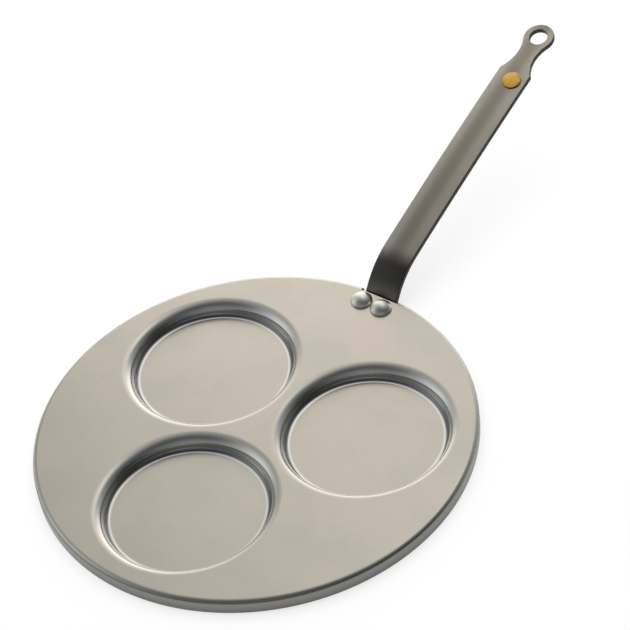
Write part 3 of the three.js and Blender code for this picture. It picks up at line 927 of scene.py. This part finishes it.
def floor_finish(stage):
    """White paper. The camera, reflections and glass see it lifted to white, with the pan's shadow kept. From
    below it is clear, so the pan's underside can be looked at."""
    made, paint, place = material("studio_floor")
    path = paint.node("LightPath").socket.node.outputs
    seen = Field(paint, path["Is Camera Ray"]) + Field(paint, path["Is Glossy Ray"])
    seen = seen + Field(paint, path["Is Transmission Ray"])
    fibres = paint.noise(place, *PAPER_FIBRES)
    tone = paint.mix(fibres * 0.05, stage.floor, PAPER_FIBRE)
    paper = paint.node("BsdfDiffuse", None, {"Color": tone})
    pale = paint.node("BsdfDiffuse", None, {"Color": paint.mix(0.6, tone, BLACK)})
    glow = paint.node("Emission", None, {"Color": WHITE, "Strength": stage.floor_glow})
    lifted = paint.node("AddShader", None, {0: pale, 1: glow})
    surface = paint.node("MixShader", None, {0: seen, 1: paper, 2: lifted})
    clear = paint.node("BsdfTransparent", None, {"Color": WHITE})
    below = paint.node("NewGeometry", None, None, "Backfacing")
    surface = paint.node("MixShader", None, {0: below, 1: surface, 2: clear})
    paint.node("OutputMaterial", None, {"Surface": surface})
    return made


# The room's soft light: degrees up, and strengths at even turns to the right, from behind the camera round
ROOM_RINGS = (
    (5, (0.18, 0.16, 0.25, 0.47, 0.18, 0.07, 0.25, 0.24, 0.13, 0, 0.02, 0.13)),
    (30, (0.08, 0.03, 0.1, 0.34, 0.16, 0.1, 0.23, 0.19, 0.07, 0.02, 0.04, 0.05)),
    (55, (0.05, 0.02, 0.1, 0.17, 0.22, 0.12, 0.06, 0.01)),
    (85, (0.16,)),
)
ROOM_SHARPNESS = 12
ROOM_COLOUR = (0.94, 1, 1.06, 1)
# Two soft panels: corners in metres to the right, back and up, then glows, each a place and a strength
PANELS = (
    (
        "back_panel", ((-1.2, 0.75, 0), (1.4, 0.75, 0), (1.4, 0.75, 1.8), (-1.2, 0.75, 1.8)),
        ((0, 0.75, 0.15, 0.9), (0.5, 0.75, 0.15, 0.5), (0, 0.75, 0.55, 0.25), (0, 0.75, 0.95, 0.2)),
    ),
    (
        "top_panel", ((-1.2, -0.4, 0.95), (1.2, -0.4, 0.95), (1.2, 1.4, 0.95), (-1.2, 1.4, 0.95)),
        ((-0.4, 0.5, 0.95, 0.06), (0.4, -0.1, 0.95, 0.06), (0.4, 0.5, 0.95, 0.59)),
    ),
)
GLOW_REACH = 0.35
PANEL_COLOUR = (1.07, 1.04, 0.98, 1)
LAMP_SPREAD = math.radians(70)
SENSOR = 36  # millimetres
VIEW_REACH = 50  # metres


def studio_axes(stage):
    """Level directions seen from the camera: to the right, and straight back."""
    turn = stage.heading
    return np.array([math.sin(turn), -math.cos(turn), 0]), np.array([math.cos(turn), math.sin(turn), 0])


def studio_room(stage):
    """Soft far light from rings of broad lobes. Each is its strength times the cosine to its axis, no less
    than 0, to the power of the sharpness."""
    world = bpy.data.worlds.new("studio")
    bpy.context.scene.world = world
    world.use_nodes = True
    paint = Paint(world.node_tree)
    way = paint.node("TexCoord", None, None, "Generated")
    right, back = studio_axes(stage)
    total = 0
    for height, strengths in ROOM_RINGS:
        height = math.radians(height)
        for number, strength in enumerate(strengths):
            turn = 2 * math.pi * (number + 0.5) / len(strengths) - math.pi
            axis = math.cos(height) * (math.cos(turn) * back + math.sin(turn) * right)
            ends = {0: way, 1: axis + (0, 0, math.sin(height))}
            cosine = paint.node("VectorMath", {"operation": "DOT_PRODUCT"}, ends, "Value")
            total = cosine.math("MAXIMUM", cosine, 0) ** ROOM_SHARPNESS * strength + total
    background = paint.node("Background", None, {"Color": ROOM_COLOUR, "Strength": total})
    paint.node("OutputWorld", None, {"Surface": background})


def soft_panel(stage, name, corners, glows):
    """A clear panel that shines softly: each glow is its strength times exp(-(distance / reach)²)."""
    axes = np.array([*studio_axes(stage), (0, 0, 1)])
    made, paint, place = material(name)
    total = 0
    for *spot, strength in glows:
        far = paint.distance(place, np.array(spot) @ axes) / GLOW_REACH
        fall = far * far * -1
        total = fall.math("EXPONENT", fall) * strength + total
    shine = paint.node("Emission", None, {"Color": PANEL_COLOUR, "Strength": total})
    clear = paint.node("BsdfTransparent", None, {"Color": WHITE})
    surface = paint.node("AddShader", None, {0: shine, 1: clear})
    paint.node("OutputMaterial", None, {"Surface": surface})
    stage_piece(name, np.array(corners) @ axes, made).visible_camera = False


def stage_piece(name, corners, finish):
    """A four-sided piece of the stage."""
    mesh = bpy.data.meshes.new(name)
    mesh.from_pydata(corners.tolist(), [], [(0, 1, 2, 3)])
    mesh.materials.append(finish)
    made = put(name, mesh)
    return made


def overhead_lamp(stage):
    """A wide soft lamp straight above that reflections don't show."""
    lamp = put("overhead_lamp", bpy.data.lights.new("overhead_lamp", "SUN"))
    lamp.data.energy = stage.lamp
    lamp.data.angle = LAMP_SPREAD
    lamp.visible_glossy = False


def studio_camera(stage):
    """The camera: the heading turns it in plan, the pitch tips it down and the roll turns the image."""
    camera = put("camera", bpy.data.cameras.new("camera"))
    camera.data.lens = stage.lens
    camera.data.sensor_width = SENSOR
    camera.data.clip_end = VIEW_REACH
    across, level = (Vector(axis) for axis in studio_axes(stage))
    forward = level * math.cos(stage.pitch) - Vector((0, 0, math.sin(stage.pitch)))
    above = across.cross(forward)
    right = across * math.cos(stage.roll) + above * math.sin(stage.roll)
    turn = Matrix((right, right.cross(forward), -forward)).transposed()
    camera.matrix_world = Matrix.Translation(stage.eye) @ turn.to_4x4()
    bpy.context.scene.camera = camera


# Operators


def finished(made, node, slot, *finishes):
    """Lets a piece ride on the pan's one body, stand for its solid and take its finishes."""
    for finish in finishes:
        made.data.materials.append(finish)
    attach(made, "root")
    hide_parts(node)


class BLINI_OT_plate(bpy.types.Operator):
    """Make the pressed plate with its wells, rim and notch"""

    bl_idname = "blini.plate"
    bl_label = "Plate"

    def execute(self, context):
        plate = context.scene.blini_plate
        made = plate_shell(plate).piece("plate", PLATE_CREASE)
        layout = plate_layout(plate)
        upper = plate_finish("bare_plate_steel", plate, layout, True)
        cut = cut_finish("cut_and_shaded_plate_steel", plate.cut_and_shade_steel)
        under = plate_finish("bare_underside_steel", plate, layout, False)
        finished(made, "pan_plate", "plate_steel", upper, cut, under)
        return {"FINISHED"}


class BLINI_OT_handle(bpy.types.Operator):
    """Make the bent strip handle with its foot and loop"""

    bl_idname = "blini.handle"
    bl_label = "Handle"

    def execute(self, context):
        plate, handle = context.scene.blini_plate, context.scene.blini_handle
        made = handle_shell(plate, handle).piece("strip_handle", CREASE)
        bevel = made.modifiers.new("edge rounding", "BEVEL")
        bevel.width = handle.edge
        bevel.segments = BEVEL_SEGMENTS
        bevel.limit_method = "ANGLE"
        bevel.angle_limit = BEVEL_CREASE
        bevel.use_clamp_overlap = False
        bevel.harden_normals = True
        cut = cut_finish("cut_and_shaded_strip_steel", handle.cut_and_shade_steel)
        finished(made, "handle", "handle_steel", strip_finish(plate, handle), cut)
        return {"FINISHED"}


class BLINI_OT_rivets(bpy.types.Operator):
    """Make the two rivets that hold the handle"""

    bl_idname = "blini.rivets"
    bl_label = "Rivets"

    def execute(self, context):
        scene = context.scene
        plate, handle, rivets = scene.blini_plate, scene.blini_handle, scene.blini_rivets
        finish = rivet_finish(rivets)
        x = plate_layout(plate).edge - rivets.edge_space - rivets.head_radius
        y = rivets.head_radius + rivets.head_space / 2
        for side, way in (("left", 1), ("right", -1)):
            shell = rivet_shell(plate, handle, rivets, (x, way * y, 0))
            made = shell.piece(f"domed_rivet_{side}", CREASE)
            finished(made, f"rivet_{side}", "rivet_steel", finish)
        return {"FINISHED"}


class BLINI_OT_button(bpy.types.Operator):
    """Make the resin button on the grip"""

    bl_idname = "blini.button"
    bl_label = "Button"

    def execute(self, context):
        scene = context.scene
        plate, handle, button = scene.blini_plate, scene.blini_handle, scene.blini_button
        made = button_shell(plate, handle, button).piece("grip_button", CREASE)
        finished(made, "handle_button", "button_resin", button_finish(button, made.data.vertices[-1].co))
        return {"FINISHED"}


class BLINI_OT_stage(bpy.types.Operator):
    """Make the floor, the studio light and the camera"""

    bl_idname = "blini.stage"
    bl_label = "Stage"

    def execute(self, context):
        stage = context.scene.blini_stage
        low, far = CAD_BOX[0].z - FLOOR_GAP, stage.floor_size
        corners = np.array([(-far, -far, low), (far, -far, low), (far, far, low), (-far, far, low)])
        stage_piece("floor", corners, floor_finish(stage))
        studio_room(stage)
        for panel in PANELS:
            soft_panel(stage, *panel)
        overhead_lamp(stage)
        studio_camera(stage)
        context.scene.view_settings.view_transform = "Standard"
        return {"FINISHED"}


class BLINI_PT_panel(bpy.types.Panel):
    """Sizes, colours and makers of the pan"""

    bl_idname = "BLINI_PT_panel"
    bl_label = "Blini pan"
    bl_space_type = "VIEW_3D"
    bl_region_type = "UI"
    bl_category = "Blini pan"

    def draw(self, context):
        for group, (_, operator) in MAKERS.items():
            box = self.layout.box()
            box.operator(operator.bl_idname)
            settings = getattr(context.scene, group)
            for name in settings.__annotations__:
                box.prop(settings, name)


MAKERS = {
    "blini_plate": (BLINI_PG_plate, BLINI_OT_plate),
    "blini_handle": (BLINI_PG_handle, BLINI_OT_handle),
    "blini_rivets": (BLINI_PG_rivets, BLINI_OT_rivets),
    "blini_button": (BLINI_PG_button, BLINI_OT_button),
    "blini_stage": (BLINI_PG_stage, BLINI_OT_stage),
}
CLASSES = (*(kind for pair in MAKERS.values() for kind in pair), BLINI_PT_panel)


def register():
    for kind in CLASSES:
        bpy.utils.register_class(kind)
    for name, (group, _) in MAKERS.items():
        setattr(bpy.types.Scene, name, bpy.props.PointerProperty(type=group))


def unregister():
    for name in MAKERS:
        delattr(bpy.types.Scene, name)
    for kind in reversed(CLASSES):
        bpy.utils.unregister_class(kind)


def main():
    """Makes every piece and the stage."""
    register()
    bpy.ops.blini.plate()
    bpy.ops.blini.handle()
    bpy.ops.blini.rivets()
    bpy.ops.blini.button()
    bpy.ops.blini.stage()
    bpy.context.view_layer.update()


if __name__ == "__main__":
    main()
